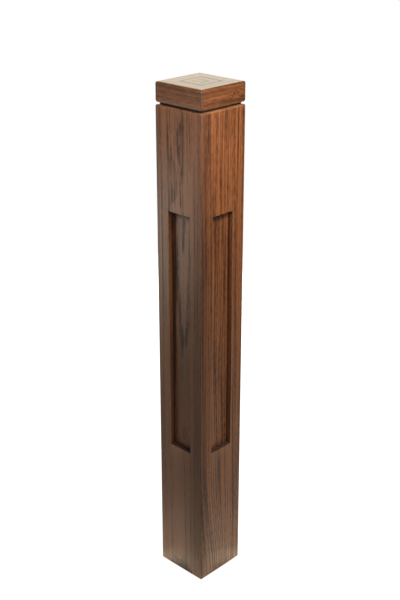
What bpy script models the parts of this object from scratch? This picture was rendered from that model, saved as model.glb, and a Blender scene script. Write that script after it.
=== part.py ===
"""A square box newel post of stained oak, in metres, standing on the origin with +Z up.

Four boards are mitred round a hollow. Each has one tall window with a thin panel planted
behind it. A set-back neck plate closes the top, and four mitred wedges make the cap.
The front looks along -Y, the right side along +X.
"""

import math

import bmesh
import bpy
from mathutils import Matrix

# Post and side boards
POST_WIDTH = 0.15875
SIDE_HEIGHT = 1.36525
BOARD_THICKNESS = 0.0142875
ARRIS_EASE = 0.0015
SHAFT_TOP_EASE = 0.0047625
SHAFT_FOOT_EASE = 0.001

# Window in each side board
STILE_WIDTH = 0.041275
BLOCK_BELOW_WINDOW = 0.409575
BLOCK_ABOVE_WINDOW = 0.269875

# Panel behind each window
PANEL_THICKNESS = 0.00635
PANEL_LAP = 0.009525

# Neck plate
NECK_HEIGHT = 0.0047625
NECK_INSET = 0.0079375

# Cap
CAP_THICKNESS = 0.0523875
CAP_ARRIS_EASE = 0.0025
CAP_TOP_EASE = 0.0047625
CAP_FOOT_EASE = 0.00635

# Fits
JOINT_GAP = 0.0003
CUTTER_SPARE = 0.05
EASE_SEGMENTS = 4

SIDES = ("front", "right", "back", "left")
OAK_FACE = (0.19, 0.085, 0.042, 1.0)
OAK_PANEL = (0.17, 0.075, 0.037, 1.0)
OAK_NECK = (0.08, 0.04, 0.022, 1.0)
OAK_CAP = (0.21, 0.095, 0.047, 1.0)


def make_collection(name, cutters=False):
    """A collection in the scene. One for cutters stays out of the render."""
    collection = bpy.data.collections.new(name)
    collection.hide_render = cutters
    bpy.context.scene.collection.children.link(collection)
    return collection


def make_material(name, colour):
    """A satin stained-wood finish of one colour."""
    material = bpy.data.materials.new(name)
    material.use_nodes = True
    shader = material.node_tree.nodes["Principled BSDF"]
    shader.inputs["Base Color"].default_value = colour
    shader.inputs["Roughness"].default_value = 0.42
    shader.inputs["Metallic"].default_value = 0.0
    material.diffuse_color = colour
    return material


def make_block(name, collection, size, bottom, centre=(0.0, 0.0)):
    """A box of the given size whose underside is at height bottom, above a point of the plan."""
    mesh = bpy.data.meshes.new(name)
    block = bmesh.new()
    bmesh.ops.create_cube(block, size=1.0)
    bmesh.ops.scale(block, vec=size, verts=block.verts)
    block.to_mesh(mesh)
    block.free()
    placed = bpy.data.objects.new(name, mesh)
    placed.location = (centre[0], centre[1], bottom + size[2] / 2)
    collection.objects.link(placed)
    return placed


def as_cutter(placed):
    """Marks an object as a cutter, drawn as wire and left out of the render."""
    placed.hide_render = True
    placed.display_type = "WIRE"
    return placed


def ease_edges(placed, arris, top, foot):
    """Rounds a block's upright arrises, top edges and bottom edges, each to its own radius."""
    widest = max(arris, top, foot)
    mesh = placed.data
    weights = mesh.attributes.new("bevel_weight_edge", "FLOAT", "EDGE")
    for edge in mesh.edges:
        low, high = sorted(mesh.vertices[index].co.z for index in edge.vertices)
        if low < 0.0 < high:
            radius = arris
        elif low > 0.0:
            radius = top
        else:
            radius = foot
        weights.data[edge.index].value = radius / widest
    bevel = placed.modifiers.new("eased edges", "BEVEL")
    bevel.limit_method = "WEIGHT"
    bevel.offset_type = "OFFSET"
    bevel.width = widest
    bevel.segments = EASE_SEGMENTS


def cut(placed, cutter, operation="DIFFERENCE"):
    """Cuts an object by a cutter, or keeps only what lies inside it."""
    boolean = placed.modifiers.new(cutter.name, "BOOLEAN")
    boolean.operation = operation
    boolean.object = cutter
    boolean.solver = "EXACT"


def set_round_the_post(source, name, collection, material):
    """Takes the front piece's finished mesh and sets one copy of it on each side of the post."""
    bpy.context.view_layer.update()
    graph = bpy.context.evaluated_depsgraph_get()
    mesh = bpy.data.meshes.new_from_object(source.evaluated_get(graph))
    mesh.transform(source.matrix_world)
    mesh.name = name
    mesh.materials.clear()
    mesh.materials.append(material)
    bpy.data.objects.remove(source)
    for turn, side in enumerate(SIDES):
        piece = bpy.data.objects.new(f"{name}_{side}", mesh)
        piece.matrix_world = Matrix.Rotation(turn * math.pi / 2, 4, "Z")
        collection.objects.link(piece)


def make_mitre_wedge(collection):
    """The front quarter of the plan: a block turned 45 degrees with one edge near the axis."""
    side = POST_WIDTH
    height = SIDE_HEIGHT + NECK_HEIGHT + CAP_THICKNESS + 2 * CUTTER_SPARE
    setback = (side + JOINT_GAP) / math.sqrt(2)
    wedge = make_block("mitre_wedge", collection, (side, side, height), -CUTTER_SPARE, (0.0, -setback))
    wedge.rotation_euler.z = math.pi / 4
    return as_cutter(wedge)


def make_sides(collection, cutters, wedge, material):
    """The four mitred boards, each with its window."""
    hollow_width = POST_WIDTH - 2 * BOARD_THICKNESS
    window_width = POST_WIDTH - 2 * STILE_WIDTH
    window_height = SIDE_HEIGHT - BLOCK_BELOW_WINDOW - BLOCK_ABOVE_WINDOW
    hollow = as_cutter(
        make_block(
            "hollow",
            cutters,
            (hollow_width, hollow_width, SIDE_HEIGHT + 2 * CUTTER_SPARE),
            -CUTTER_SPARE,
        )
    )
    window = as_cutter(
        make_block(
            "window",
            cutters,
            (window_width, POST_WIDTH, window_height),
            BLOCK_BELOW_WINDOW,
            (0.0, -POST_WIDTH / 2),
        )
    )
    board = make_block("board", collection, (POST_WIDTH, POST_WIDTH, SIDE_HEIGHT), 0.0)
    ease_edges(board, ARRIS_EASE, SHAFT_TOP_EASE, SHAFT_FOOT_EASE)
    cut(board, hollow)
    cut(board, wedge, "INTERSECT")
    cut(board, window)
    set_round_the_post(board, "side", collection, material)


def make_panels(collection, material):
    """The four thin panels, planted on the backs of the boards with a lap all round."""
    width = POST_WIDTH - 2 * STILE_WIDTH + 2 * PANEL_LAP
    window_height = SIDE_HEIGHT - BLOCK_BELOW_WINDOW - BLOCK_ABOVE_WINDOW
    face = POST_WIDTH / 2 - BOARD_THICKNESS - JOINT_GAP
    panel = make_block(
        "planted_panel",
        collection,
        (width, PANEL_THICKNESS, window_height + 2 * PANEL_LAP),
        BLOCK_BELOW_WINDOW - PANEL_LAP,
        (0.0, -face + PANEL_THICKNESS / 2),
    )
    set_round_the_post(panel, "panel", collection, material)


def make_neck(collection, material):
    """The set-back plate on top of the boards, clear of them and of the cap by the joint gap."""
    width = POST_WIDTH - 2 * NECK_INSET
    plate = make_block(
        "neck_plate",
        collection,
        (width, width, NECK_HEIGHT - 2 * JOINT_GAP),
        SIDE_HEIGHT + JOINT_GAP,
    )
    plate.data.materials.append(material)


def make_cap(collection, wedge, material):
    """The four mitred wedges of the cap, which meet at the centre."""
    block = make_block(
        "cap_block",
        collection,
        (POST_WIDTH, POST_WIDTH, CAP_THICKNESS),
        SIDE_HEIGHT + NECK_HEIGHT,
    )
    ease_edges(block, CAP_ARRIS_EASE, CAP_TOP_EASE, CAP_FOOT_EASE)
    cut(block, wedge, "INTERSECT")
    set_round_the_post(block, "cap", collection, material)


for old in list(bpy.data.objects):
    bpy.data.objects.remove(old)
post_parts = make_collection("newel_post")
post_cutters = make_collection("newel_post_cutters", cutters=True)
mitre_wedge = make_mitre_wedge(post_cutters)
make_sides(post_parts, post_cutters, mitre_wedge, make_material("oak_sides", OAK_FACE))
make_panels(post_parts, make_material("oak_panels", OAK_PANEL))
make_neck(post_parts, make_material("oak_neck", OAK_NECK))
make_cap(post_parts, mitre_wedge, make_material("oak_cap", OAK_CAP))
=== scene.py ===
import math

import bpy
import numpy as np
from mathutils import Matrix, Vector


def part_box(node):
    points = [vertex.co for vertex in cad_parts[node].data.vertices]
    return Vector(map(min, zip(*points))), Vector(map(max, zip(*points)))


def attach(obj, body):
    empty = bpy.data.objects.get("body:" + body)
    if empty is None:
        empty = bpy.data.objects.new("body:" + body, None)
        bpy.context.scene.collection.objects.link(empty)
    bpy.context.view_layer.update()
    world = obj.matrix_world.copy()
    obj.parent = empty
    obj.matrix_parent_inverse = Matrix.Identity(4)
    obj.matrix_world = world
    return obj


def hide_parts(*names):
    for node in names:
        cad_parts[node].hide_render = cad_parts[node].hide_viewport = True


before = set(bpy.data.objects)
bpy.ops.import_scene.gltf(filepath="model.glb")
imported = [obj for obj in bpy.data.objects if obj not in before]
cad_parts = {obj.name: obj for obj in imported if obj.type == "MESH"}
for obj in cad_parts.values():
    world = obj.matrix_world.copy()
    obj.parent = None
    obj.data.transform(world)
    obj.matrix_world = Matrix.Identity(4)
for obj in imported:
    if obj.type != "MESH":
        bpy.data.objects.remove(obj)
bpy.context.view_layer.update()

# The room round the post: a pale floor sheet, a white backdrop and soft lamps.
# The post stands at the middle of the sheet. Its front looks along -Y and its
# right side along +X, and the camera sees both from a little above the cap.

CAMERA_PLACE = (1.816, -1.888, 1.949)
CAMERA_TILT = math.radians(66.97)
CAMERA_HEADING = math.radians(43.91)
CAMERA_LENS = 63.7
CAMERA_SENSOR = 36.0
CAMERA_REACH = 60.0
FLOOR_RADIUS = 2.6
FLOOR_RINGS = 8
FLOOR_SPOKES = 96
FLOOR_GREY = 0.8
FLOOR_ROUGHNESS = 0.9
FLOOR_SHINE = 0.1
FLOOR_SEEN = 0.93
WARM_WHITE = (1.0, 0.91, 0.69)
FLOOR_GLOW = (
    # share of the radius, strength
    (0.0, 0.0),
    (0.033, 0.0),
    (0.040, 0.95),
    (0.054, 0.95),
    (0.061, 0.28),
    (0.130, 0.28),
    (0.140, 0.0),
    (1.0, 0.0),
)
ROOM_LIGHT = 0.002
LAMPS = (
    # name, bearing, distance, height, aim height, width, tall, power, colour
    ("right_lamp", 92.0, 0.5, 1.32, 1.30, 0.3, 0.3, 0.57, (1.0, 0.77, 0.82)),
    ("right_high", 82.0, 0.7, 1.95, 1.25, 0.4, 0.4, 10.8, (1.0, 0.81, 0.57)),
    ("right_low", 75.0, 1.8, 0.5, 0.5, 0.8, 0.8, 5.4, (1.0, 0.97, 0.99)),
    ("corner_high", 45.0, 0.9, 2.0, 1.25, 0.4, 0.4, 3.3, (1.0, 0.99, 0.98)),
    ("front_lamp", 0.0, 0.6, 1.45, 1.40, 0.3, 0.3, 1.15, (0.82, 0.85, 1.0)),
    ("left_card", -54.0, 2.0, 0.38, 0.38, 1.0, 0.62, 3.7, (1.0, 0.90, 0.77)),
    ("back_wall", 224.0, 3.6, 2.2, 1.6, 3.0, 1.6, 25.7, (1.0, 1.0, 0.84)),
    ("back_fill", 225.0, 2.4, 0.75, 0.75, 1.0, 1.0, 14.0, (1.0, 0.95, 0.88)),
)


def put(tree, kind, **settings):
    """A node of the kind, with its settings."""
    node = tree.nodes.new(kind)
    for name, value in settings.items():
        setattr(node, name, value)
    return node


def feed(tree, socket, value):
    """Links an output to a socket, or sets the socket's own value."""
    if isinstance(value, bpy.types.NodeSocket):
        tree.links.new(value, socket)
    else:
        socket.default_value = value


def maths(tree, operation, *terms, clamp=False):
    """One step of arithmetic on outputs and numbers."""
    node = put(tree, "ShaderNodeMath", operation=operation, use_clamp=clamp)
    for socket, term in zip(node.inputs, terms):
        feed(tree, socket, term)
    return node.outputs[0]


def blend(tree, share, first, second):
    """Two colours mixed by a share. The node's colour sockets are its inputs 6 and 7 and output 2."""
    node = put(tree, "ShaderNodeMix", data_type="RGBA", blend_type="MIX")
    for socket, value in ((node.inputs[0], share), (node.inputs[6], first), (node.inputs[7], second)):
        feed(tree, socket, value)
    return node.outputs[2]


def place_camera():
    """The camera stands on the diagonal between the front and the right side, looking down."""
    camera = bpy.data.cameras.new("camera")
    camera.lens = CAMERA_LENS
    camera.sensor_width = CAMERA_SENSOR
    camera.sensor_fit = "AUTO"
    camera.clip_end = CAMERA_REACH
    stand = bpy.data.objects.new("camera", camera)
    stand.location = CAMERA_PLACE
    stand.rotation_euler = (CAMERA_TILT, 0.0, CAMERA_HEADING)
    bpy.context.scene.collection.objects.link(stand)
    bpy.context.scene.camera = stand


def paint_floor():
    """A pale matt sheet. It glows in rings round the foot, and where the camera sees it, it is white."""
    paint = bpy.data.materials.new("pale_floor")
    paint.use_nodes = True
    tree = paint.node_tree
    shader = tree.nodes["Principled BSDF"]
    shader.inputs["Base Color"].default_value = (FLOOR_GREY, FLOOR_GREY, FLOOR_GREY, 1.0)
    shader.inputs["Roughness"].default_value = FLOOR_ROUGHNESS
    shader.inputs["Specular IOR Level"].default_value = FLOOR_SHINE
    reach = put(tree, "ShaderNodeVectorMath", operation="LENGTH")
    feed(tree, reach.inputs[0], put(tree, "ShaderNodeTexCoord").outputs["Object"])
    glow = put(tree, "ShaderNodeValToRGB")
    feed(tree, glow.inputs["Fac"], maths(tree, "DIVIDE", reach.outputs["Value"], FLOOR_RADIUS))
    glow.color_ramp.interpolation = "LINEAR"
    stops = glow.color_ramp.elements
    for share, _ in FLOOR_GLOW[1:-1]:
        stops.new(share)
    for stop, (_, strength) in zip(stops, FLOOR_GLOW):
        stop.color = (strength, strength, strength, 1.0)
    by_camera = put(tree, "ShaderNodeLightPath").outputs["Is Camera Ray"]
    seen = put(tree, "ShaderNodeMix")
    feed(tree, seen.inputs["Factor"], by_camera)
    feed(tree, seen.inputs["A"], glow.outputs["Color"])
    feed(tree, seen.inputs["B"], FLOOR_SEEN)
    feed(tree, shader.inputs["Emission Strength"], seen.outputs["Result"])
    tint = blend(tree, by_camera, WARM_WHITE + (1.0,), (1.0, 1.0, 1.0, 1.0))
    feed(tree, shader.inputs["Emission Color"], tint)
    return paint


def lay_floor():
    """A flat disc: rings of points at radius r and angle a, at r cos a, r sin a and height 0."""
    ring = np.linspace(0.0, FLOOR_RADIUS, FLOOR_RINGS + 1)[1:, None]
    angle = np.linspace(0.0, 2 * np.pi, FLOOR_SPOKES, endpoint=False)[None, :]
    points = np.stack([ring * np.cos(angle), ring * np.sin(angle), 0 * ring * angle], -1)
    index = np.arange(FLOOR_RINGS * FLOOR_SPOKES).reshape(FLOOR_RINGS, FLOOR_SPOKES)
    after = np.roll(index, -1, axis=1)
    bands = np.stack([index[:-1], index[1:], after[1:], after[:-1]], -1).reshape(-1, 4)
    mesh = bpy.data.meshes.new("floor")
    mesh.from_pydata(points.reshape(-1, 3).tolist(), [], bands.tolist() + [index[0].tolist()])
    mesh.materials.append(paint_floor())
    floor = bpy.data.objects.new("floor", mesh)
    bpy.context.scene.collection.objects.link(floor)


def hang_backdrop():
    """White where the camera looks past the floor, and almost no light from the room itself."""
    world = bpy.data.worlds.new("room")
    world.use_nodes = True
    tree = world.node_tree
    tree.nodes.clear()
    either = put(tree, "ShaderNodeMixShader")
    feed(tree, either.inputs["Fac"], put(tree, "ShaderNodeLightPath").outputs["Is Camera Ray"])
    for socket, strength in zip(either.inputs[1:], (ROOM_LIGHT, 1.0)):
        air = put(tree, "ShaderNodeBackground")
        air.inputs["Color"].default_value = (1.0, 1.0, 1.0, 1.0)
        air.inputs["Strength"].default_value = strength
        feed(tree, socket, air.outputs["Background"])
    feed(tree, put(tree, "ShaderNodeOutputWorld").inputs["Surface"], either.outputs["Shader"])
    bpy.context.scene.world = world


def hang_lamp(name, bearing, distance, height, aim_height, width, tall, power, colour):
    """A soft oblong lamp at a bearing from the post, in degrees from -Y towards +X, facing the post."""
    turn = math.radians(bearing)
    place = np.array([distance * math.sin(turn), -distance * math.cos(turn), height])
    along = np.array([0.0, 0.0, aim_height]) - place
    flat = math.hypot(along[0], along[1])
    lamp = bpy.data.lights.new(name, "AREA")
    lamp.shape = "RECTANGLE"
    lamp.size = width
    lamp.size_y = tall
    lamp.energy = power
    lamp.color = colour
    hung = bpy.data.objects.new(name, lamp)
    hung.location = place
    hung.rotation_euler = (math.atan2(flat, -along[2]), 0.0, math.atan2(-along[0], along[1]))
    hung.visible_camera = False
    bpy.context.scene.collection.objects.link(hung)


place_camera()
lay_floor()
hang_backdrop()
for lamp in LAMPS:
    hang_lamp(*lamp)
bpy.context.scene.view_settings.view_transform = "Standard"
bpy.context.scene.view_settings.look = "None"

# The four side boards: flat-sawn and rift-sawn white oak, 9/16 in thick, mitred along the arrises
# and glued, with a window cut through each. Every edge is eased by hand before a dark walnut stain
# and a satin coat. The grain runs up the post, so sill, head and ends take the stain darker.

SIDES = ("front", "right", "back", "left")
PANEL_LAP = 0.009525
ARRIS_EASE = 0.0015
SHAFT_TOP_EASE = 0.0047625
SHAFT_FOOT_EASE = 0.009
WINDOW_EASE = 0.0009
GLUE_LINE = 0.00005
PLANING = 0.00012
PLANED_DEPTH = 0.0015
FLAT_MARGIN = 0.001
SHARP_ANGLE = math.radians(32.0)
FACE_SHARES = (0.0, 0.04, 0.1, 0.2, 0.3, 0.4, 0.5, 0.6, 0.7, 0.8, 0.9, 0.96, 1.0)
ARRIS_DEPTHS = (0.00004, 0.0001, 0.0002, 0.00031, 0.00044, 0.0007, 0.0011, 0.0016)
TOP_EASE_START = 0.0022
TOP_EASE_ROWS = 4
MITRE_ROWS = 4
MITRE_START = 0.007
WALL_ROWS = 9
WALL_EDGE_SHARES = (0.6, 0.3, 0.1)
STATIONS_ACROSS = 28
STATIONS_UP = 180

board_low, board_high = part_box("side_front")
panel_low, panel_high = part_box("panel_front")
post_half = -board_low.y
side_height = board_high.z
board_thickness = board_high.y - board_low.y
window_half = panel_high.x - PANEL_LAP
window_sill = panel_low.z + PANEL_LAP
window_head = panel_high.z - PANEL_LAP


def ramp(value, zero_at, one_at):
    """0 at one value and 1 at the other, straight between them and level beyond."""
    return np.clip((value - zero_at) / (one_at - zero_at), 0.0, 1.0)


def quarter_round(depth, radius):
    """How far an eased edge stands back at a depth below the face: the radius less the root of
    radius squared minus (radius - depth) squared, and nothing below the round."""
    left = np.clip(radius - depth, 0.0, radius)
    return radius - np.sqrt(np.maximum(radius**2 - left**2, 0.0))


def hand_planed(across, along, seed):
    """The plane's faint hollows: a sum of long sine waves across and along, scaled to 0..PLANING."""
    waves = (
        np.sin(across * 61.0 + along * 7.0 + seed)
        + np.sin(across * 37.0 - along * 11.0 + 2.3 * seed)
        + np.sin(along * 23.0 + 4.1 * seed)
    )
    return PLANING * (0.5 + waves / 6.0)


def rectangle_loops(half, low, high, depth):
    """One closed loop a row: along the foot to +X, up, back along the top and down again.
    half, low, high and depth hold one value a row. The loop's points sit at even shares of
    each side, so the corners of all rows line up."""
    share = np.linspace(0.0, 1.0, STATIONS_ACROSS, endpoint=False)
    climb = np.linspace(0.0, 1.0, STATIONS_UP, endpoint=False)
    half, low, high, depth = (np.asarray(value, float)[:, None] for value in (half, low, high, depth))
    x = np.concatenate(
        [half * (2 * share - 1), half + 0 * climb, half * (1 - 2 * share), -half + 0 * climb], 1
    )
    z = np.concatenate(
        [low + 0 * share, low + (high - low) * climb, high + 0 * share, high - (high - low) * climb], 1
    )
    return np.stack([x, -post_half + depth + 0 * x, z], -1)


def turned(points, turn):
    """Points turned about the upright axis by quarter turns: x, y becomes -y, x each time."""
    for _ in range(turn):
        points = np.stack([-points[..., 1], points[..., 0], points[..., 2]], -1)
    return points


def make_piece(name, points, faces, marks, material, node):
    """Puts arrays into a mesh, with one float attribute for each mark, and rides it on the post."""
    mesh = bpy.data.meshes.new(name)
    mesh.from_pydata(points.reshape(-1, 3).tolist(), [], faces)
    for mark, values in marks.items():
        mesh.attributes.new(mark, "FLOAT", "POINT").data.foreach_set("value", values.reshape(-1))
    mesh.shade_smooth()
    mesh.set_sharp_from_angle(angle=SHARP_ANGLE)
    mesh.materials.append(material)
    piece = bpy.data.objects.new(name, mesh)
    bpy.context.scene.collection.objects.link(piece)
    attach(piece, "root")
    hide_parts(node)
    return piece


def board_rows():
    """The rows' half widths, foot heights and head heights, and their depths below the face, in three
    runs: over the face from the window to the arris, down the mitre, and up the window's wall."""
    outwards = np.array([1, -1, 1])
    window = np.array([window_half, window_sill, window_head])
    inner = window + WINDOW_EASE * outwards
    outer = np.array([post_half - ARRIS_EASE, SHAFT_FOOT_EASE, side_height - SHAFT_TOP_EASE])
    margin = FLAT_MARGIN * outwards
    share = np.array(FACE_SHARES)[:, None]
    spread = (inner + margin) * (1 - share) + (outer - margin) * share
    face = np.concatenate([inner[None], spread, outer[None]])
    # The mitre plane cuts the arris's round at 45 degrees
    deep = np.concatenate([
        ARRIS_DEPTHS,
        np.linspace(TOP_EASE_START, SHAFT_TOP_EASE, TOP_EASE_ROWS),
        np.linspace(MITRE_START, board_thickness, MITRE_ROWS),
    ])
    edge = np.stack([
        post_half - np.maximum(quarter_round(deep, ARRIS_EASE), deep + GLUE_LINE),
        quarter_round(deep, SHAFT_FOOT_EASE),
        side_height - quarter_round(deep, SHAFT_TOP_EASE),
    ], -1)
    rise = np.concatenate([
        np.linspace(board_thickness, WINDOW_EASE, WALL_ROWS),
        WINDOW_EASE * np.array(WALL_EDGE_SHARES),
    ])
    wall = window + quarter_round(rise, WINDOW_EASE)[:, None] * outwards
    return (face, edge, wall), (0 * face[:, 0], deep, rise)


def board_surface(turn):
    """The whole skin of one board as rectangles nested round its window: out over the face, over
    the eased arris, down the mitre, in over the back and out again up the window's wall."""
    runs, depths = board_rows()
    rows, depth = np.concatenate(runs), np.concatenate(depths)
    points = rectangle_loops(rows[:, 0], rows[:, 1], rows[:, 2], depth)
    near_face = np.clip(1 - depth / PLANED_DEPTH, 0.0, 1.0)[:, None]
    points[..., 1] += near_face * hand_planed(points[..., 0], points[..., 2], 1.7 * turn)
    # The marks: painted highlight and wear on the edges, painted shade and sill stain in the hollows, and
    # painted shade along the front arris
    marks = {
        "highlight_and_wear": board_highlight_and_wear(points[..., 2], depth, len(runs[0])),
        "shade_and_stain": board_shade_and_stain(points, depth[:, None], len(runs[2])),
        "shaded": arris_shade(points, turn),
    }
    return turned(points, turn), marks


# Lighter edges: painted highlight where the eased edges catch the light, together with stain rubbed thin
RIM_HIGHLIGHT_WEAR = (0.7, 0.7, 0.45, 0.12)
ARRIS_HIGHLIGHT_WEAR = 0.12
WALL_EDGE_HIGHLIGHT_WEAR = 0.5
TOP_HIGHLIGHT_WEAR = 0.9
TOP_HIGHLIGHT_REACH = 0.0045
TOP_HIGHLIGHT_DEPTH = 0.005
SHELTERED = 0.002
HIGHLIGHT_WEAR_ABOVE_FLOOR = (0.005, 0.015)


def board_highlight_and_wear(height, depth, face_rows):
    """Where the edges are painted lighter, from 0 to 1, partly as a painted highlight where the eased edges
    catch the light and partly as stain rubbed thin: round the window's rim, along the long arrises and most
    on the top edge, but not at the window's head nor at the floor."""
    highlight_and_wear = np.zeros(len(depth))
    highlight_and_wear[: len(RIM_HIGHLIGHT_WEAR)] = RIM_HIGHLIGHT_WEAR
    highlight_and_wear[face_rows - 2 : face_rows + len(ARRIS_DEPTHS)] = ARRIS_HIGHLIGHT_WEAR
    highlight_and_wear[-len(WALL_EDGE_SHARES) :] = WALL_EDGE_HIGHLIGHT_WEAR
    on_top = (height > side_height - TOP_HIGHLIGHT_REACH) * (depth[:, None] < TOP_HIGHLIGHT_DEPTH)
    highlight_and_wear = np.maximum(highlight_and_wear[:, None], TOP_HIGHLIGHT_WEAR * on_top)
    return highlight_and_wear * (np.abs(height - window_head) >= SHELTERED) * ramp(height, *HIGHLIGHT_WEAR_ABOVE_FLOOR)


# Painted shade in the panel corner, low on the walls and in the groove, and painted shadow under the head
# and at the foot; the sill's darkening is stain on end grain
CORNER_SHADE_REACH = 0.005
HEAD_SHADOW = (-0.0144, -0.0024)
HEAD_SHADOW_DEPTH = 0.002
HEAD_SHADOW_TOP = 0.001
SILL_POOL = 0.8
SILL_POOL_DEPTH = 0.0007
SILL_BAND = 0.0004
LOW_WALL_SHADE = 0.5
LOW_WALL_DEPTH = 0.0012
WALL_TOUCH = 0.0001
LOW_WALL_HEIGHTS = (0.86, 0.70)
FOOT_SHADOW = 0.75
FOOT_SHADOW_REACH = 0.004
GROOVE_SHADE_DEPTHS = (0.0055, 0.008)
GROOVE_BAND = 0.0008


def board_shade_and_stain(points, depth, wall_rows):
    """Where the boards are painted dark, from 0 to 1: painted shade in the corner at the panel, a painted
    shadow under the window's head, stain on the sill's end grain, painted shade low down the walls, a
    painted contact shadow at the floor and painted shade in the groove under the cap."""
    across, height = np.abs(points[..., 0]), points[..., 2]
    corner = ramp(depth, board_thickness - CORNER_SHADE_REACH, board_thickness) + 0 * height
    corner[:-wall_rows] = 0.0
    head = ramp(height - window_head, *HEAD_SHADOW) * (depth > HEAD_SHADOW_DEPTH)
    head = head * (height < window_head + HEAD_SHADOW_TOP)
    sill = SILL_POOL * (depth > SILL_POOL_DEPTH) * (np.abs(height - window_sill) < SILL_BAND)
    in_window = (across < window_half + WALL_TOUCH) * (height > window_sill - WALL_TOUCH)
    low_wall = LOW_WALL_SHADE * ramp(height, *LOW_WALL_HEIGHTS) * (depth > LOW_WALL_DEPTH) * in_window
    floor = FOOT_SHADOW * ramp(height, FOOT_SHADOW_REACH, 0.0)
    groove = ramp(depth, *GROOVE_SHADE_DEPTHS) * (height > side_height - GROOVE_BAND)
    return np.maximum.reduce([corner, head, sill, low_wall, floor, groove])


# Painted shade along the front arris, at five heights, for the front and then the right side
ARRIS_SHADE_HEIGHTS = (0.5, 0.8, 1.0, 1.18, 1.33)
ARRIS_SHADE_BANDS = ((0.056, 0.048, 0.038, 0.024, 0.014), (0.032, 0.046, 0.045, 0.036, 0.026))
ARRIS_SHADE_STRENGTH = ((1.0, 0.9, 0.8, 0.5, 0.25), (1.0, 1.1, 1.1, 1.0, 0.9))


def arris_shade(points, turn):
    """Painted shade along the arris between front and right, where the faces darken and lose their sheen:
    strength times exp(-(distance / band) squared). On the front the band is wide low down and narrows and
    fades upwards."""
    if turn >= len(ARRIS_SHADE_BANDS):
        return 0 * points[..., 0]
    distance = post_half - points[..., 0] if turn == 0 else post_half + points[..., 0]
    band = np.interp(points[..., 2], ARRIS_SHADE_HEIGHTS, ARRIS_SHADE_BANDS[turn])
    strength = np.interp(points[..., 2], ARRIS_SHADE_HEIGHTS, ARRIS_SHADE_STRENGTH[turn])
    return strength * np.exp(-((distance / band) ** 2))


def wrapped_faces(rows, stations):
    """Quads between neighbouring rows and stations, closed both ways round."""
    index = np.arange(rows * stations).reshape(rows, stations)
    below, beside = np.roll(index, -1, axis=0), np.roll(index, -1, axis=1)
    across = np.roll(below, -1, axis=1)
    return np.stack([index, below, across, beside], -1).reshape(-1, 4).tolist()


# Each triple of noise scales is in features per metre: twice across the grain, once along it
SLOW_SWAY = (14.0, 14.0, 3.0)
QUICK_SWAY = (95.0, 95.0, 22.0)
QUICK_SWAY_SHARE = 0.22
SEED_STEPS = (1.31, 2.17, 0.73)
EARLYWOOD_FADES = 0.04
EARLYWOOD_RETURNS = 0.93
THINNEST_YEAR = 0.6
BROKEN_RINGS = (230.0, 230.0, 13.0)
BREAK_EDGES = (0.38, 0.60)
PORE_GROOVES = (1300.0, 1300.0, 42.0)
PORE_START = 0.66
PORE_CROWDING = 0.17
PORE_EDGE = 0.07
WIDE_STREAKS = (75.0, 75.0, 1.0)
NARROW_STREAKS = (165.0, 165.0, 2.4)
WIDE_SHARE = 0.15
STAIN_FLECKS = (190.0, 190.0, 60.0)
RAYS_ROUND = 260.0
RAYS_OUT = 60.0
RAYS_ALONG = 75.0
RAY_EDGES = (0.66, 0.74)


def vectors(tree, operation, *terms):
    """One step of vector arithmetic on outputs and triples."""
    node = put(tree, "ShaderNodeVectorMath", operation=operation)
    for socket, term in zip(node.inputs, terms):
        feed(tree, socket, term)
    return node.outputs["Vector"]


def scaled(tree, vector, factor):
    """A vector times a number."""
    node = put(tree, "ShaderNodeVectorMath", operation="SCALE")
    feed(tree, node.inputs[0], vector)
    feed(tree, node.inputs["Scale"], factor)
    return node.outputs["Vector"]


def grade(tree, value, low, high, at_low=0.0, at_high=1.0):
    """A smooth step: at_low up to low, at_high from high."""
    node = put(tree, "ShaderNodeMapRange", interpolation_type="SMOOTHSTEP", clamp=True)
    ends = {"Value": value, "From Min": low, "From Max": high, "To Min": at_low, "To Max": at_high}
    for name, number in ends.items():
        feed(tree, node.inputs[name], number)
    return node.outputs["Result"]


def fibre(tree, place, stretch, detail=2.0, roughness=0.5):
    """Noise on a vector stretched by three factors, in features per metre."""
    node = put(tree, "ShaderNodeTexNoise")
    feed(tree, node.inputs["Vector"], vectors(tree, "MULTIPLY", place, stretch))
    node.inputs["Scale"].default_value = 1.0
    node.inputs["Detail"].default_value = detail
    node.inputs["Roughness"].default_value = roughness
    return node


SOCKET_KINDS = {
    "Place": "NodeSocketVector",
    "Light": "NodeSocketColor",
    "Dark": "NodeSocketColor",
    "Pore": "NodeSocketColor",
    "Color": "NodeSocketColor",
    "Bare And Highlight": "NodeSocketColor",
}


def new_group(name, takes, gives):
    """A shader node group. Its inputs and outputs are plain values unless SOCKET_KINDS says otherwise.
    Returns the group, a dictionary of its inputs and the node that takes its outputs."""
    group = bpy.data.node_groups.new(name, "ShaderNodeTree")
    for labels, way in ((takes, "INPUT"), (gives, "OUTPUT")):
        for label in labels:
            kind = SOCKET_KINDS.get(label, "NodeSocketFloat")
            group.interface.new_socket(label, in_out=way, socket_type=kind)
    start = group.nodes.new("NodeGroupInput")
    end = group.nodes.new("NodeGroupOutput")
    return group, {socket.name: socket for socket in start.outputs}, end


KNOLL_LABELS = ("Across", "Up", "Half Width", "Half Height", "Rise", "Shove")
LOG_LABELS = ("Ring Width", "Early Share", "Broken", "Sway", "Seed")
FIGURE_LABELS = ("Growth", "Pores", "Streak", "Flecks", "Rays")
STAIN_LABELS = ("End Grain", "Light", "Dark", "Pore", "Figure", "Lines", "Depth")
FINISH_LABELS = ("Color", "Roughness", "Lacquer")
MARK_LABELS = ("Highlight_And_Wear", "Shade_And_Stain", "Shaded")


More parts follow.
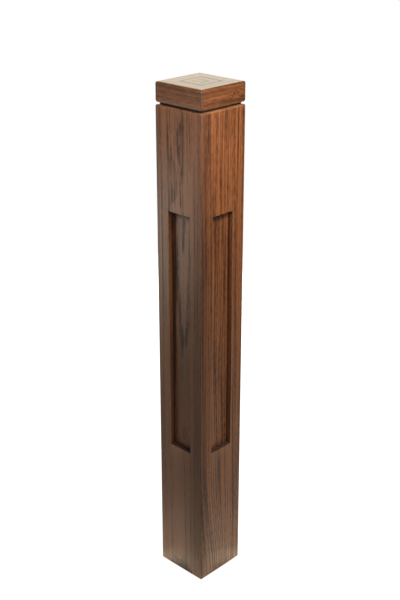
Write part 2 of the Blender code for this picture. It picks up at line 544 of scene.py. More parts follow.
def make_knoll():
    """A swelling of the trunk, where the saw leaves a flame or an island: it moves a place out from
    the pith by rise, and sideways by shove, each times exp(-(across / half width) squared -
    (up / half height) squared)."""
    group, given, end = new_group("knoll", ("Place",) + KNOLL_LABELS, ("Place",))
    spot = put(group, "ShaderNodeSeparateXYZ")
    feed(group, spot.inputs[0], given["Place"])
    reach = 0.0
    for axis, middle, half in (("X", "Across", "Half Width"), ("Z", "Up", "Half Height")):
        off = maths(group, "SUBTRACT", spot.outputs[axis], given[middle])
        off = maths(group, "DIVIDE", off, given[half])
        reach = maths(group, "ADD", reach, maths(group, "MULTIPLY", off, off))
    swell = maths(group, "EXPONENT", maths(group, "MULTIPLY", reach, -1.0))
    out = put(group, "ShaderNodeCombineXYZ")
    feed(group, out.inputs["X"], maths(group, "MULTIPLY", swell, given["Shove"]))
    feed(group, out.inputs["Y"], maths(group, "MULTIPLY", swell, given["Rise"]))
    feed(group, end.inputs["Place"], vectors(group, "ADD", given["Place"], out.outputs[0]))
    return group


def make_oak_figure():
    """Oak in the log. The vector is a place in the log, in metres, with the pith along Z. Growth
    rings follow the distance from the pith, bent by slow sway; earlywood opens each ring and the
    pores crowd there as short grooves along the grain. Rays stand out from the pith."""
    group, given, end = new_group("oak_figure", ("Place",) + LOG_LABELS, FIGURE_LABELS)
    seed = put(group, "ShaderNodeCombineXYZ")
    for socket, factor in zip(seed.inputs, SEED_STEPS):
        feed(group, socket, maths(group, "MULTIPLY", given["Seed"], factor))
    marked = vectors(group, "ADD", given["Place"], seed.outputs[0])
    # Slow sway of the trunk, and quicker small waves, each noise colour taken less its middle
    slow = fibre(group, marked, SLOW_SWAY, 1.5).outputs["Color"]
    quick = fibre(group, marked, QUICK_SWAY, 2.0).outputs["Color"]
    pull = vectors(group, "SUBTRACT", slow, (0.5, 0.5, 0.5))
    ripple = scaled(group, vectors(group, "SUBTRACT", quick, (0.5, 0.5, 0.5)), QUICK_SWAY_SHARE)
    swayed = scaled(group, vectors(group, "ADD", pull, ripple), given["Sway"])
    bent = put(group, "ShaderNodeSeparateXYZ")
    feed(group, bent.inputs[0], vectors(group, "ADD", given["Place"], swayed))
    squares = [maths(group, "MULTIPLY", bent.outputs[axis], bent.outputs[axis]) for axis in "XY"]
    radius = maths(group, "SQRT", maths(group, "ADD", *squares))
    # Rings, and years of thick and thin growth
    count = maths(group, "DIVIDE", radius, given["Ring Width"])
    part = maths(group, "FRACT", count)
    fading = grade(group, part, EARLYWOOD_FADES, given["Early Share"], 1.0, 0.0)
    early = maths(group, "MAXIMUM", fading, grade(group, part, EARLYWOOD_RETURNS, 1.0))
    year = put(group, "ShaderNodeTexWhiteNoise", noise_dimensions="1D")
    feed(group, year.inputs["W"], maths(group, "ADD", maths(group, "FLOOR", count), given["Seed"]))
    strength = maths(group, "MULTIPLY_ADD", year.outputs["Value"], 1 - THINNEST_YEAR, THINNEST_YEAR)
    broken = fibre(group, marked, BROKEN_RINGS, 3.0, 0.65).outputs["Fac"]
    gaps = maths(group, "MULTIPLY", grade(group, broken, *BREAK_EDGES, 1.0, 0.0), given["Broken"])
    unbroken = maths(group, "SUBTRACT", 1.0, gaps)
    growth = maths(group, "MULTIPLY", maths(group, "MULTIPLY", early, strength), unbroken)
    feed(group, end.inputs["Growth"], growth)
    # Pores: short grooves, crowded where the earlywood is
    grooves = fibre(group, marked, PORE_GROOVES, 1.0).outputs["Fac"]
    start = maths(group, "SUBTRACT", PORE_START, maths(group, "MULTIPLY", growth, PORE_CROWDING))
    feed(group, end.inputs["Pores"], grade(group, maths(group, "SUBTRACT", grooves, start), 0.0, PORE_EDGE))
    # Streaks of stain, wide and narrow, long along the grain, and short flecks between them
    wide = maths(group, "MULTIPLY", fibre(group, marked, WIDE_STREAKS, 1.0).outputs["Fac"], WIDE_SHARE)
    narrow = fibre(group, marked, NARROW_STREAKS, 2.0).outputs["Fac"]
    narrow = maths(group, "MULTIPLY", narrow, 1 - WIDE_SHARE)
    feed(group, end.inputs["Streak"], maths(group, "ADD", wide, narrow))
    feed(group, end.inputs["Flecks"], fibre(group, marked, STAIN_FLECKS, 2.0, 0.6).outputs["Fac"])
    # Rays, counted by the angle round the pith
    spoke = put(group, "ShaderNodeCombineXYZ")
    angle = maths(group, "ARCTAN2", bent.outputs["Y"], bent.outputs["X"])
    feed(group, spoke.inputs["X"], maths(group, "MULTIPLY", angle, RAYS_ROUND))
    feed(group, spoke.inputs["Y"], maths(group, "MULTIPLY", radius, RAYS_OUT))
    feed(group, spoke.inputs["Z"], maths(group, "MULTIPLY", bent.outputs["Z"], RAYS_ALONG))
    rays = fibre(group, spoke.outputs[0], (1.0, 1.0, 1.0), 0.5).outputs["Fac"]
    feed(group, end.inputs["Rays"], grade(group, rays, *RAY_EDGES))
    return group


ROUGHNESS = 0.44
COAT = 0.9
COAT_LOST_ON_RINGS = 0.65
CLOUDS = (16.0, 16.0, 5.0)
CLOUD_WEIGHT = 0.6
STREAK_WEIGHT = 3.1
FLECK_WEIGHT = 1.1
PORE_WEIGHT = 0.62
RAY_WEIGHT = 0.22
END_GRAIN_WEIGHT = 0.55
RINGS_ROUGHER = 0.08
PORES_ROUGHER = 0.18
END_GRAIN_ROUGHER = 0.10
PORES_SUNK = 0.7
RINGS_SUNK = 0.3


def make_walnut_stain():
    """A wiping stain on the figure: it takes darker in earlywood, pores and end grain and lighter on
    rays, and clouds slowly over the board. Gives colour, roughness, lacquer and grain height."""
    group, given, end = new_group(
        "walnut_stain", ("Place",) + FIGURE_LABELS + STAIN_LABELS, FINISH_LABELS + ("Height",)
    )
    cloud = fibre(group, given["Place"], CLOUDS, 2.0).outputs["Fac"]
    taken = maths(group, "MULTIPLY", given["Growth"], given["Figure"])
    for value, weight in ((given["Streak"], STREAK_WEIGHT), (given["Flecks"], FLECK_WEIGHT)):
        part = maths(group, "MULTIPLY", maths(group, "SUBTRACT", value, 0.5), weight)
        taken = maths(group, "ADD", taken, maths(group, "MULTIPLY", part, given["Lines"]))
    uneven = maths(group, "MULTIPLY", maths(group, "SUBTRACT", cloud, 0.5), CLOUD_WEIGHT)
    share = maths(group, "ADD", maths(group, "ADD", taken, uneven), given["Depth"], clamp=True)
    colour = blend(group, share, given["Light"], given["Dark"])
    for mark, weight, tone in (
        ("Pores", PORE_WEIGHT, "Pore"),
        ("Rays", RAY_WEIGHT, "Light"),
        ("End Grain", END_GRAIN_WEIGHT, "Pore"),
    ):
        colour = blend(group, maths(group, "MULTIPLY", given[mark], weight), colour, given[tone])
    feed(group, end.inputs["Color"], colour)
    rough = maths(group, "MULTIPLY_ADD", given["Growth"], RINGS_ROUGHER, ROUGHNESS)
    for mark, more in (("Pores", PORES_ROUGHER), ("End Grain", END_GRAIN_ROUGHER)):
        rough = maths(group, "ADD", rough, maths(group, "MULTIPLY", given[mark], more))
    feed(group, end.inputs["Roughness"], rough)
    coat = maths(group, "MULTIPLY_ADD", given["Growth"], -COAT_LOST_ON_RINGS * COAT, COAT)
    feed(group, end.inputs["Lacquer"], coat)
    sunk = maths(group, "MULTIPLY", given["Pores"], PORES_SUNK)
    sunk = maths(group, "ADD", sunk, maths(group, "MULTIPLY", given["Growth"], RINGS_SUNK))
    sunk = maths(group, "MULTIPLY", sunk, maths(group, "SUBTRACT", 1.0, given["End Grain"]))
    feed(group, end.inputs["Height"], maths(group, "SUBTRACT", 1.0, sunk))
    return group


# Patches of lighter edge: painted highlight and stain rubbed thin
LIGHTER_EDGE_PATCHES = (90.0, 90.0, 24.0)
LIGHTER_EDGE_BOUNDS = (0.30, 0.52)
KNOCKS = (38.0, 38.0, 30.0)
KNOCK_EDGES = (0.40, 0.54)
KNOCK_HEIGHTS = (0.02, 0.070)
KNOCK_MIDDLE = (0.030, 0.055)
KNOCKS_AT_SIDES = 0.15
LIGHTER_EDGE_SMOOTHER = -0.05
# The coat thins under the painted shade along the arris
COAT_LOST_IN_SHADE = 0.6
# The coat thins under painted shade in the hollows and under stain on the sills
COAT_LOST_IN_SHADE_AND_STAIN = 0.7
# Tone of painted shade in the hollows and of stain on the sills
SHADE_AND_STAIN_TONE = (0.016, 0.008, 0.0045, 1.0)
# Tone of the painted shade along the arris and down the cap's corners, also used for the front panel's
# darker low half
PAINTED_SHADE_TONE = (0.022, 0.015, 0.011, 1.0)
GRIME_OF_KNOCKS = (0.026, 0.014, 0.010, 1.0)
# Pale dust on ledges, which also stands in for a painted sheen
DUST_AND_SHEEN = (0.15, 0.13, 0.115, 1.0)


def make_marks_and_shade():
    """What use does to the finish, with painted light among it: the edges turn lighter in patches, partly a
    painted highlight and partly stain rubbed thin; painted shade and stain lie dark in the inner corners
    and on the sills; painted shade darkens the arris between front and right; knocks scuff near the floor;
    and dust with a painted sheen lies on ledges."""
    group, given, end = new_group(
        "marks_and_shade", ("Place",) + FINISH_LABELS + MARK_LABELS + ("Dust And Sheen", "Scuffed", "Bare And Highlight"), FINISH_LABELS
    )
    patchy = fibre(group, given["Place"], LIGHTER_EDGE_PATCHES, 3.0, 0.6).outputs["Fac"]
    lighter_edges = maths(group, "MULTIPLY", given["Highlight_And_Wear"], grade(group, patchy, *LIGHTER_EDGE_BOUNDS))
    # Knocks from shoes and brooms, in ragged patches that thin out above the floor
    place = put(group, "ShaderNodeSeparateXYZ")
    feed(group, place.inputs[0], given["Place"])
    knocks = fibre(group, given["Place"], KNOCKS, 3.0, 0.65).outputs["Fac"]
    ragged = grade(group, knocks, *KNOCK_EDGES)
    low = grade(group, place.outputs["Z"], *KNOCK_HEIGHTS, 1.0, 0.0)
    across = maths(group, "ABSOLUTE", place.outputs["X"])
    middle = grade(group, across, *KNOCK_MIDDLE, 1.0, KNOCKS_AT_SIDES)
    scuffs = maths(group, "MULTIPLY", maths(group, "MULTIPLY", low, middle), ragged)
    scuffs = maths(group, "MULTIPLY", scuffs, given["Scuffed"])
    colour = given["Color"]
    # Lighter edges as painted highlight and wear, painted shade and stain, painted shade along the arris,
    # knocks, and dust with painted sheen
    for mark, weight, tone in (
        (lighter_edges, 0.5, given["Bare And Highlight"]),
        (given["Shade_And_Stain"], 0.8, SHADE_AND_STAIN_TONE),
        (given["Shaded"], 0.48, PAINTED_SHADE_TONE),
        (scuffs, 0.85, GRIME_OF_KNOCKS),
        (given["Dust And Sheen"], 0.25, DUST_AND_SHEEN),
    ):
        colour = blend(group, maths(group, "MULTIPLY", mark, weight), colour, tone)
    feed(group, end.inputs["Color"], colour)
    rough = maths(group, "MULTIPLY_ADD", lighter_edges, LIGHTER_EDGE_SMOOTHER, given["Roughness"])
    for mark, weight in ((given["Shade_And_Stain"], 0.15), (given["Shaded"], 0.15), (scuffs, 0.1)):
        rough = maths(group, "ADD", rough, maths(group, "MULTIPLY", mark, weight))
    feed(group, end.inputs["Roughness"], rough)
    thin = maths(group, "MULTIPLY_ADD", given["Shaded"], -COAT_LOST_IN_SHADE, 1.0)
    thin = maths(group, "MULTIPLY_ADD", given["Shade_And_Stain"], -COAT_LOST_IN_SHADE_AND_STAIN, thin, clamp=True)
    feed(group, end.inputs["Lacquer"], maths(group, "MULTIPLY", thin, given["Lacquer"]))
    return group


COAT_ROUGHNESS = 0.28
REFRACTION = 1.5
GRAIN_STRENGTH = 0.35
GRAIN_RELIEF = 0.0003
END_GRAIN_FACING = (0.5, 0.85)
LEDGE_FACING = (0.7, 0.95)
STAIN_LIGHT = (0.330, 0.130, 0.047, 1.0)
STAIN_DARK = (0.060, 0.021, 0.008, 1.0)
STAIN_PORE = (0.026, 0.011, 0.006, 1.0)
# The lighter edge tone: bare wood, also used as painted highlight
BARE_AND_HIGHLIGHT_TONE = (0.40, 0.185, 0.080, 1.0)
knoll_group = make_knoll()
oak_figure = make_oak_figure()
walnut_stain = make_walnut_stain()
marks_and_shade = make_marks_and_shade()


def place_in_log(tree, place, lean, offset, knolls, grain):
    """Where a place on the front of the post lies in its log: swollen by the knolls, laid over if the
    grain runs along X, leaned by two small angles and moved from the pith."""
    for knoll in knolls:
        swelling = put(tree, "ShaderNodeGroup", node_tree=knoll_group)
        feed(tree, swelling.inputs["Place"], place)
        for label, value in zip(KNOLL_LABELS, knoll):
            swelling.inputs[label].default_value = value
        place = swelling.outputs["Place"]
    in_log = put(tree, "ShaderNodeMapping", vector_type="POINT")
    feed(tree, in_log.inputs["Vector"], place)
    laid_over = math.pi / 2 if grain == "X" else 0.0
    in_log.inputs["Rotation"].default_value = (lean[0], lean[1] - laid_over, 0.0)
    in_log.inputs["Location"].default_value = offset
    return in_log.outputs[0]


def stained_oak(name, turn, log, look, knolls=(), grain="Z", ledges=False, scuffed=0.0):
    """Stained oak for one piece. A Mapping node turns the piece back to the front of the post, and
    place_in_log takes it from there. Between two heights the strength of figure and lines goes from
    its share at the foot to 1, and the stain's depth from its value at the foot to its own."""
    lean, offset, ring_width, sway, seed = log
    figure, lines, depth, early_share, broken, low, high, at_foot, foot_depth = look
    material = bpy.data.materials.new(name)
    material.use_nodes = True
    tree = material.node_tree
    shader = tree.nodes["Principled BSDF"]
    shader.inputs["Coat Roughness"].default_value = COAT_ROUGHNESS
    shader.inputs["Coat IOR"].default_value = REFRACTION
    shader.inputs["IOR"].default_value = REFRACTION
    at_front = put(tree, "ShaderNodeMapping", vector_type="POINT")
    feed(tree, at_front.inputs["Vector"], put(tree, "ShaderNodeTexCoord").outputs["Object"])
    at_front.inputs["Rotation"].default_value = (0.0, 0.0, -turn * math.pi / 2)
    log_place = place_in_log(tree, at_front.outputs[0], lean, offset, knolls, grain)
    oak = put(tree, "ShaderNodeGroup", node_tree=oak_figure)
    feed(tree, oak.inputs["Place"], log_place)
    for label, value in zip(LOG_LABELS, (ring_width, early_share, broken, sway, seed)):
        oak.inputs[label].default_value = value
    # The stain, by what the wood is and which way it faces
    spot = put(tree, "ShaderNodeSeparateXYZ")
    feed(tree, spot.inputs[0], at_front.outputs[0])
    facing = put(tree, "ShaderNodeSeparateXYZ")
    feed(tree, facing.inputs[0], put(tree, "ShaderNodeNewGeometry").outputs["Normal"])
    end_axis = "Z" if grain == "Z" else "XY"[turn % 2]
    end_on = maths(tree, "ABSOLUTE", facing.outputs[end_axis])
    strength = grade(tree, spot.outputs["Z"], low, high, at_foot, 1.0)
    stain = put(tree, "ShaderNodeGroup", node_tree=walnut_stain)
    feed(tree, stain.inputs["Place"], log_place)
    for label in FIGURE_LABELS:
        feed(tree, stain.inputs[label], oak.outputs[label])
    for label, value in zip(STAIN_LABELS, (
        grade(tree, end_on, *END_GRAIN_FACING),
        STAIN_LIGHT,
        STAIN_DARK,
        STAIN_PORE,
        maths(tree, "MULTIPLY", strength, figure),
        maths(tree, "MULTIPLY", strength, lines),
        grade(tree, spot.outputs["Z"], low, high, foot_depth, depth),
    )):
        feed(tree, stain.inputs[label], value)
    # Wear, painted highlights, painted shade and dust with painted sheen, by the marks that the mesh
    # carries
    shade_and_wear = put(tree, "ShaderNodeGroup", node_tree=marks_and_shade)
    feed(tree, shade_and_wear.inputs["Place"], at_front.outputs[0])
    for label in FINISH_LABELS:
        feed(tree, shade_and_wear.inputs[label], stain.outputs[label])
    for label in MARK_LABELS:
        mark = put(tree, "ShaderNodeAttribute", attribute_name=label.lower())
        feed(tree, shade_and_wear.inputs[label], mark.outputs["Fac"])
    if ledges:
        # Dust and a painted sheen on upward faces
        feed(tree, shade_and_wear.inputs["Dust And Sheen"], grade(tree, facing.outputs["Z"], *LEDGE_FACING))
    shade_and_wear.inputs["Scuffed"].default_value = scuffed
    shade_and_wear.inputs["Bare And Highlight"].default_value = BARE_AND_HIGHLIGHT_TONE
    bump = put(tree, "ShaderNodeBump")
    bump.inputs["Strength"].default_value = GRAIN_STRENGTH
    bump.inputs["Distance"].default_value = GRAIN_RELIEF
    feed(tree, bump.inputs["Height"], stain.outputs["Height"])
    feed(tree, shader.inputs["Base Color"], shade_and_wear.outputs["Color"])
    feed(tree, shader.inputs["Roughness"], shade_and_wear.outputs["Roughness"])
    feed(tree, shader.inputs["Coat Weight"], shade_and_wear.outputs["Lacquer"])
    feed(tree, shader.inputs["Normal"], bump.outputs["Normal"])
    return material


BOARD_LOGS = {
    # lean, offset from the pith, ring width, sway, seed
    "front": ((0.0, 0.0), (0.012, 0.430875, 0.1), 0.0025, 0.0013, 3.0),
    "right": ((-0.002, 0.003), (0.160, 0.240, 0.6), 0.0056, 0.003, 11.0),
    "back": ((0.004, -0.003), (-0.020, 0.380, 1.1), 0.0027, 0.004, 23.0),
    "left": ((-0.003, 0.003), (-0.135, 0.255, 1.7), 0.0050, 0.004, 37.0),
}
BOARD_KNOLLS = {
    # across, up, half width, half height, rise, shove
    "front": (
        (-0.017, 1.178, 0.017, 0.085, 0.00112, 0.0),
        (-0.032, 1.400, 0.010, 0.120, 0.0009, 0.0),
        (0.001, 1.295, 0.011, 0.055, 0.00105, 0.0),
        (0.012, 1.160, 0.009, 0.050, 0.0006, 0.0),
    ),
    "right": ((-0.030, -0.020, 0.070, 0.210, 0.0, -0.028), (0.020, 1.180, 0.060, 0.200, 0.0, 0.004)),
    "back": ((0.012, 0.900, 0.020, 0.180, 0.0020, 0.0),),
    "left": ((0.050, 1.200, 0.050, 0.260, 0.0090, 0.0),),
}
BOARD_LOOKS = {
    # figure, lines, depth, early share, broken, low, high, figure at foot, depth at foot
    "front": (1.00, 0.85, 0.20, 0.30, 0.85, 0.60, 1.10, 0.35, 0.36),
    "right": (0.28, 1.15, 0.29, 0.45, 0.30, 0.30, 0.48, 1.45, 0.29),
    "back": (0.85, 0.8, 0.30, 0.34, 0.6, 0.40, 1.00, 0.50, 0.34),
    "left": (0.60, 1.0, 0.30, 0.42, 0.4, 0.30, 0.90, 0.60, 0.34),
}
SCUFFED = {"front": 1.0, "right": 0.3, "back": 0.5, "left": 0.5}

for turn, side in enumerate(SIDES):
    skin, marks = board_surface(turn)
    finish = stained_oak(
        f"oak_board_{side}", turn, BOARD_LOGS[side], BOARD_LOOKS[side], BOARD_KNOLLS[side],
        ledges=True, scuffed=SCUFFED[side],
    )
    faces = wrapped_faces(*skin.shape[:2])
    make_piece(f"{side}_board", skin, faces, marks, finish, f"side_{side}")

# The four panels: thin flat-sawn oak planted on the backs of the boards, so that each lies a board's
# thickness behind the face and in its shadow. They show only through the windows, with a broader figure
# than the boards, and painted shade darkens the corner where they meet the boards and the strip under the
# head.

PANEL_FACE_GAP = 0.00005
PANEL_BOW = 0.0004
PANEL_BOW_FADE = 0.1
PANEL_ROWS = 80
ROWS_AT_ENDS = (0.0008, 0.0024, 0.006, 0.012)
EVEN_ROWS_FROM = 0.02
ACROSS_SHARES = (0.15, 0.3, 0.45, 0.6, 0.75, 0.85, 0.93, 0.97)
ACROSS_AT_WALL = (-0.0008, 0.0, 0.001)
PANEL_SEED = 5.0
# Painted shade in the panel's corners and a painted shadow under the head
PANEL_CORNER_SHADE_REACH = 0.0028
PANEL_HEAD_SHADOW = (0.020, 0.004)
LOW_PANEL_DARKER = 0.62
LOW_PANEL_HEIGHTS = (0.80, 0.65)


def panel_grid():
    """The panel's lines across and up, close together at the window's walls, sill and head."""
    inside = [window_half * share for share in ACROSS_SHARES]
    at_wall = [window_half + step for step in ACROSS_AT_WALL]
    positive = np.array(inside + at_wall + [panel_high.x])
    x = np.concatenate([-positive[::-1], [0.0], positive])
    fine = np.array(ROWS_AT_ENDS)
    even = np.linspace(window_sill + EVEN_ROWS_FROM, window_head - EVEN_ROWS_FROM, PANEL_ROWS)
    below = [panel_low.z, window_sill - FLAT_MARGIN, window_sill]
    above = [window_head, window_head + FLAT_MARGIN, panel_high.z]
    z = np.concatenate([below, window_sill + fine, even, window_head - fine[::-1], above])
    return np.meshgrid(x, z)


def panel_surface(turn):
    """A closed box as a front sheet and a back sheet on one grid, sewn round the edge. The front
    bows by a fraction of a millimetre, as a thin board does: highest at the middle."""
    across, up = panel_grid()
    off_ends = (up - window_sill) * (window_head - up)
    inside = np.clip(1 - (across / window_half) ** 2, 0.0, 1.0) * ramp(off_ends, 0.0, PANEL_BOW_FADE)
    face = -post_half + board_thickness + PANEL_FACE_GAP
    front_y = face + PANEL_BOW * (1 - inside) + hand_planed(across, up, PANEL_SEED + turn)
    back_y = panel_high.y + 0 * across
    sheets = np.stack([np.stack([across, front_y, up], -1), np.stack([across, back_y, up], -1)])
    # Painted shade in the corners and a painted shadow under the head, and the front panel's low half made
    # darker and duller
    to_side = window_half - np.abs(across)
    to_edge = np.minimum(to_side, np.minimum(up - window_sill, window_head - up))
    shade_and_stain = np.maximum(ramp(to_edge, PANEL_CORNER_SHADE_REACH, 0.0), ramp(window_head - up, *PANEL_HEAD_SHADOW))
    low_darker = LOW_PANEL_DARKER * (turn == 0) * ramp(up, *LOW_PANEL_HEIGHTS)
    marks = {
        "shade_and_stain": np.stack([shade_and_stain, 0 * shade_and_stain]),
        "highlight_and_wear": np.zeros(sheets.shape[:3]),
        "shaded": np.stack([low_darker, low_darker]),
    }
    return turned(sheets, turn), marks


def sewn_faces(rows, columns):
    """Quads of a front and a back sheet on the same grid, and the quads that close their edge."""
    front = np.arange(rows * columns).reshape(rows, columns)
    shift = rows * columns
    sheet = np.stack([front[:-1, :-1], front[:-1, 1:], front[1:, 1:], front[1:, :-1]], -1).reshape(-1, 4)
    rim = np.concatenate([front[0, :-1], front[:-1, -1], front[-1, :0:-1], front[:0:-1, 0]])
    after = np.roll(rim, -1)
    band = np.stack([rim, rim + shift, after + shift, after], -1)
    return np.concatenate([sheet, sheet[:, ::-1] + shift, band]).tolist()


PANEL_LOGS = {
    # lean, offset from the pith, ring width, sway, seed
    "front": ((0.0, 0.0), (0.0, 0.3176, 0.3), 0.0034, 0.0018, 51.0),
    "right": ((-0.003, 0.003), (0.120, 0.230, 0.9), 0.0050, 0.003, 67.0),
    "back": ((0.003, 0.002), (-0.010, 0.310, 1.5), 0.0036, 0.006, 73.0),
    "left": ((0.003, -0.003), (0.080, 0.220, 2.1), 0.0044, 0.005, 89.0),
}
PANEL_KNOLLS = {
    # across, up, half width, half height, rise, shove
    "front": (
        (0.000, 1.000, 0.0234, 0.400, 0.0041, 0.0),
        (0.004, 1.065, 0.013, 0.035, 0.0018, 0.0),
        (0.000, 1.005, 0.008, 0.032, 0.0017, 0.0),
        (0.002, 0.452, 0.010, 0.035, 0.0022, 0.0),
    ),
    "right": ((0.000, 0.640, 0.030, 0.140, 0.0, 0.006),),
    "back": ((-0.006, 0.760, 0.024, 0.200, 0.0036, 0.0),),
    "left": ((0.010, 0.900, 0.024, 0.160, 0.0030, 0.0),),
}
PANEL_LOOKS = {
    # figure, lines, depth, early share, broken, low, high, figure at foot, depth at foot
    "front": (1.10, 0.90, 0.33, 0.32, 0.70, 0.50, 0.75, 0.45, 0.06),
    "right": (0.28, 1.35, 0.38, 0.45, 0.3, 0.40, 0.80, 1.0, 0.30),
    "back": (0.90, 0.8, 0.33, 0.36, 0.6, 0.40, 0.90, 0.60, 0.36),
    "left": (0.60, 1.0, 0.33, 0.42, 0.4, 0.40, 0.90, 0.60, 0.36),
}

for turn, side in enumerate(SIDES):
    sheets, marks = panel_surface(turn)
    finish = stained_oak(f"oak_panel_{side}", turn, PANEL_LOGS[side], PANEL_LOOKS[side], PANEL_KNOLLS[side])
    faces = sewn_faces(*sheets.shape[1:3])
    make_piece(f"{side}_panel", sheets, faces, marks, finish, f"panel_{side}")

# The neck plate: one square of 3/16 in oak set back from the faces. It closes the box and lifts the cap, so
# that a dark groove runs round under the cap. Its edges are sanded soft, and it is stained like the rest,
# then painted dark all over as shade, since little light reaches it.

NECK_EASE = 0.0006
NECK_SHARES = (0.02, 0.3, 0.6, 0.85, 0.97)
NECK_ROUND = (1.0, 0.5, 0.15, 0.0)
NECK_CLIMB = (0.0, 0.13, 0.47, 1.0)
NECK_STATIONS = 16
neck_low, neck_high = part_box("neck_plate")


def square_loops(half, height, count):
    """Closed square loops about the upright axis, one a row, each with its own half width and
    height."""
    share = np.linspace(-1.0, 1.0, count, endpoint=False)
    half, height = (np.asarray(value, float)[:, None] for value in (half, height))
    side = np.stack([half * share, -half + 0 * share, height + 0 * share], -1)
    return np.concatenate([turned(side, turn) for turn in range(4)], 1)


def neck_surface():
    """Squares from the middle of the underside out, up the eased edge and in over the top."""
    half = neck_high.x
    spread = np.array(NECK_SHARES) * half
    edge = half - NECK_EASE * np.array(NECK_ROUND)
    climb = NECK_EASE * np.array(NECK_CLIMB)
    middle = (neck_low.z + neck_high.z) / 2
    halves = np.concatenate([spread, edge, [half], edge[::-1], spread[::-1]])
    below = np.concatenate([0 * spread + neck_low.z, neck_low.z + climb])
    above = np.concatenate([neck_high.z - climb[::-1], 0 * spread + neck_high.z])
    return square_loops(halves, np.concatenate([below, [middle], above]), NECK_STATIONS)


def capped_faces(rows, stations):
    """Quads between rows, with the first and the last loop each closed by one face."""
    index = np.arange(rows * stations).reshape(rows, stations)
    beside = np.roll(index, -1, axis=1)
    faces = np.stack([index[:-1], beside[:-1], beside[1:], index[1:]], -1).reshape(-1, 4).tolist()
    return faces + [index[0, ::-1].tolist(), index[-1].tolist()]


NECK_LOG = ((0.01, 0.0), (0.03, 0.09, 0.4), 0.003, 0.01, 97.0)
NECK_LOOK = (0.8, 1.0, 0.4, 0.4, 0.5, 0.0, 1.0, 1.0, 0.4)

neck_skin = neck_surface()
untouched = np.zeros(neck_skin.shape[:2])
# The whole neck plate is painted dark, as painted shade
neck_marks = {"highlight_and_wear": untouched, "shade_and_stain": untouched + 1.0, "shaded": untouched}
neck_finish = stained_oak("oak_neck", 0, NECK_LOG, NECK_LOOK, grain="X")
neck_faces = capped_faces(*neck_skin.shape[:2])
make_piece("neck", neck_skin, neck_faces, neck_marks, neck_finish, "neck_plate")

# The cap: four wedges of 2 1/16 in oak cut from one plank and mitred to the middle, so the
# figure on top runs round as nested squares and long grain shows on every side. Its edges
# are eased more than the shaft's, most of all below, and the top lies flat.

CAP_ARRIS_EASE = 0.0025
CAP_TOP_EASE = 0.0047625
CAP_FOOT_EASE = 0.00635
CAP_SHARES = (0.01, 0.12, 0.25, 0.4, 0.55, 0.7, 0.85, 1.0)
CAP_ROUND_ROWS = 8
CAP_FACE_ROWS = 8
CAP_CORNER_POINTS = 5
CAP_EVEN_POINTS = 49
CAP_CORNER_SHARE = 0.9
CAP_PLANED_DEPTH = 0.002
CAP_TOP_PLANING = (1.7, 2.3, 9.0)
CAP_FACE_PLANING = (2.0, 12.0)
# Painted highlight and wear on the rounds, painted shade in the undercut, and painted shade with a duller
# coat down the corners in place of their highlight
CAP_ROUND_HIGHLIGHT_WEAR = 0.25
CAP_CORNER_HIGHLIGHT_WEAR = 0.05
HIGHLIGHT_WEAR_FROM = 0.9
UNDERCUT_SHADE = (0.003, 0.007)
CORNER_SHADE = 0.85
cap_low, cap_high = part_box("cap_front")


def wedge_rows():
    """The rows' half widths and heights: out over the top from the middle, over the eased edge by
    half less radius times (1 - sin a), down the face, round below and back in to the middle."""
    bend = np.linspace(0.0, math.pi / 2, CAP_ROUND_ROWS)
    shares = np.array(CAP_SHARES)
    top_half = post_half - CAP_TOP_EASE * (1 - np.sin(bend))
    top_z = cap_high.z - CAP_TOP_EASE * (1 - np.cos(bend))
    foot_half = post_half - CAP_FOOT_EASE * (1 - np.cos(bend))
    foot_z = cap_low.z + CAP_FOOT_EASE * (1 - np.sin(bend))
    in_top = (post_half - CAP_TOP_EASE - FLAT_MARGIN) * shares
    in_foot = (post_half - CAP_FOOT_EASE - FLAT_MARGIN) * shares[::-1]
    face_z = np.linspace(top_z[-1] - FLAT_MARGIN, foot_z[0] + FLAT_MARGIN, CAP_FACE_ROWS)
    half = np.concatenate([in_top, top_half, post_half + 0 * face_z, foot_half, in_foot])
    z = np.concatenate([cap_high.z + 0 * shares, top_z, face_z, foot_z, cap_low.z + 0 * shares])
    return half, z


def wedge_surface(turn):
    """Rows of one side of a square with rounded corners, from mitre to mitre. The corner's round is
    cut by the mitre at 45 degrees, where x = h - r + r sin a and y = -(h - r + r cos a) for the
    half width h and the radius r."""
    half, z = wedge_rows()
    even = np.linspace(-1.0, 1.0, CAP_EVEN_POINTS)
    corner = np.linspace(0.0, math.pi / 4, CAP_CORNER_POINTS + 1)[1:]
    radius = np.minimum(CAP_ARRIS_EASE, CAP_CORNER_SHARE * half)[:, None]
    flat = half[:, None] - radius
    beside, out = flat + radius * np.sin(corner), flat + radius * np.cos(corner)
    x = np.concatenate([-beside[:, ::-1], flat * even, beside], 1)
    y = -np.concatenate([out[:, ::-1], flat + radius + 0 * even, out], 1)
    x = np.clip(x, y + GLUE_LINE, -y - GLUE_LINE)
    points = np.stack([x, y, z[:, None] + 0 * x], -1)
    # The plane's hollows on top, then on the face
    x_scale, y_scale, top_seed = CAP_TOP_PLANING
    on_top = np.clip(1 - (cap_high.z - points[..., 2]) / CAP_PLANED_DEPTH, 0.0, 1.0)
    points[..., 2] -= hand_planed(x * x_scale, y * y_scale + turn, top_seed) * on_top
    z_scale, face_seed = CAP_FACE_PLANING
    on_face = np.clip(1 - (post_half + points[..., 1]) / CAP_PLANED_DEPTH, 0.0, 1.0)
    points[..., 1] += hand_planed(x, points[..., 2] * z_scale, face_seed + turn) * on_face
    return turned(points, turn), wedge_marks(points, half[:, None], z[:, None])


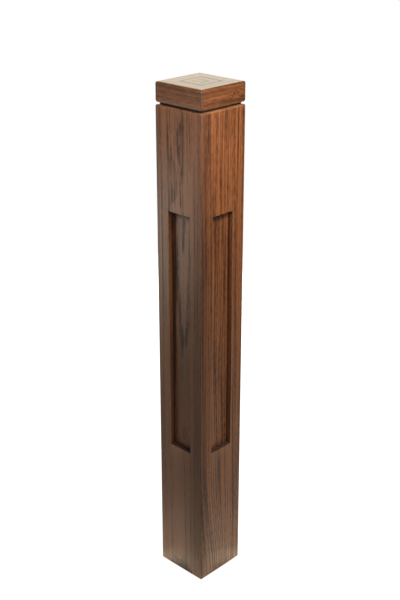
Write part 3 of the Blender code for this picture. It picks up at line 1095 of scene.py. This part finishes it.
def wedge_marks(points, half, z):
    """Where the cap is painted: the two rounds a little lighter, most at their middle, as painted highlight
    and wear, painted shade round the undercut, and painted shade with a duller coat down the corners, at
    the rows' corner points."""
    highlight_and_wear = 0 * points[..., 0]
    first = len(CAP_SHARES)
    hump = CAP_ROUND_HIGHLIGHT_WEAR * np.sin(2 * np.linspace(0.0, math.pi / 2, CAP_ROUND_ROWS))[:, None]
    for start in (first, first + CAP_ROUND_ROWS + CAP_FACE_ROWS):
        highlight_and_wear[start : start + CAP_ROUND_ROWS] = hump
    for corner in (slice(None, CAP_CORNER_POINTS), slice(-CAP_CORNER_POINTS, None)):
        highlight_and_wear[:, corner] = np.maximum(highlight_and_wear[:, corner], CAP_CORNER_HIGHLIGHT_WEAR)
    highlight_and_wear *= points[..., 1] < -HIGHLIGHT_WEAR_FROM * post_half
    shade_and_stain = ramp(post_half - half, *UNDERCUT_SHADE) * (points[..., 2] < cap_low.z + FLAT_MARGIN)
    corner_shade = 0 * highlight_and_wear
    for corner in (slice(None, CAP_CORNER_POINTS + 1), slice(-CAP_CORNER_POINTS - 1, None)):
        corner_shade[:, corner] = CORNER_SHADE * (cap_high.z - z > FLAT_MARGIN)
    return {"highlight_and_wear": highlight_and_wear, "shade_and_stain": shade_and_stain, "shaded": corner_shade}


def wedge_faces(rows, stations):
    """Quads of the sheet, closed round by the strip from its last row to its first and by one face
    in each mitre."""
    index = np.arange(rows * stations).reshape(rows, stations)
    below = np.roll(index, -1, axis=0)
    faces = np.stack([index[:, :-1], below[:, :-1], below[:, 1:], index[:, 1:]], -1).reshape(-1, 4).tolist()
    return faces + [index[:, 0].tolist()[::-1], index[:, -1].tolist()]


CAP_PITH_HEIGHT = 1.3031
CAP_PITH_OUT = 0.079
CAP_PLANK_STEP = 0.35
CAP_RING = 0.009
CAP_SWAY = 0.004
CAP_SEED = 103.0
CAP_KNOLLS = {"right": ((0.045, 1.396, 0.018, 0.010, 0.034, 0.0),)}
CAP_LOOKS = {
    # figure, lines, depth, early share, broken, low, high, figure at foot, depth at foot
    "front": (0.3, 0.95, 0.41, 0.24, 0.3, 0.0, 1.0, 1.0, 0.41),
    "right": (0.3, 0.85, 0.62, 0.24, 0.3, 0.0, 1.0, 1.0, 0.62),
    "back": (0.3, 1.0, 0.45, 0.24, 0.3, 0.0, 1.0, 1.0, 0.45),
    "left": (0.3, 1.0, 0.42, 0.24, 0.3, 0.0, 1.0, 1.0, 0.42),
}

for turn, side in enumerate(SIDES):
    skin, marks = wedge_surface(turn)
    log = ((0.0, 0.0), (CAP_PITH_HEIGHT, CAP_PITH_OUT, CAP_PLANK_STEP * turn), CAP_RING, CAP_SWAY, CAP_SEED)
    finish = stained_oak(f"oak_cap_{side}", turn, log, CAP_LOOKS[side], CAP_KNOLLS.get(side, ()), grain="X")
    faces = wedge_faces(*skin.shape[:2])
    make_piece(f"{side}_wedge", skin, faces, marks, finish, f"cap_{side}")
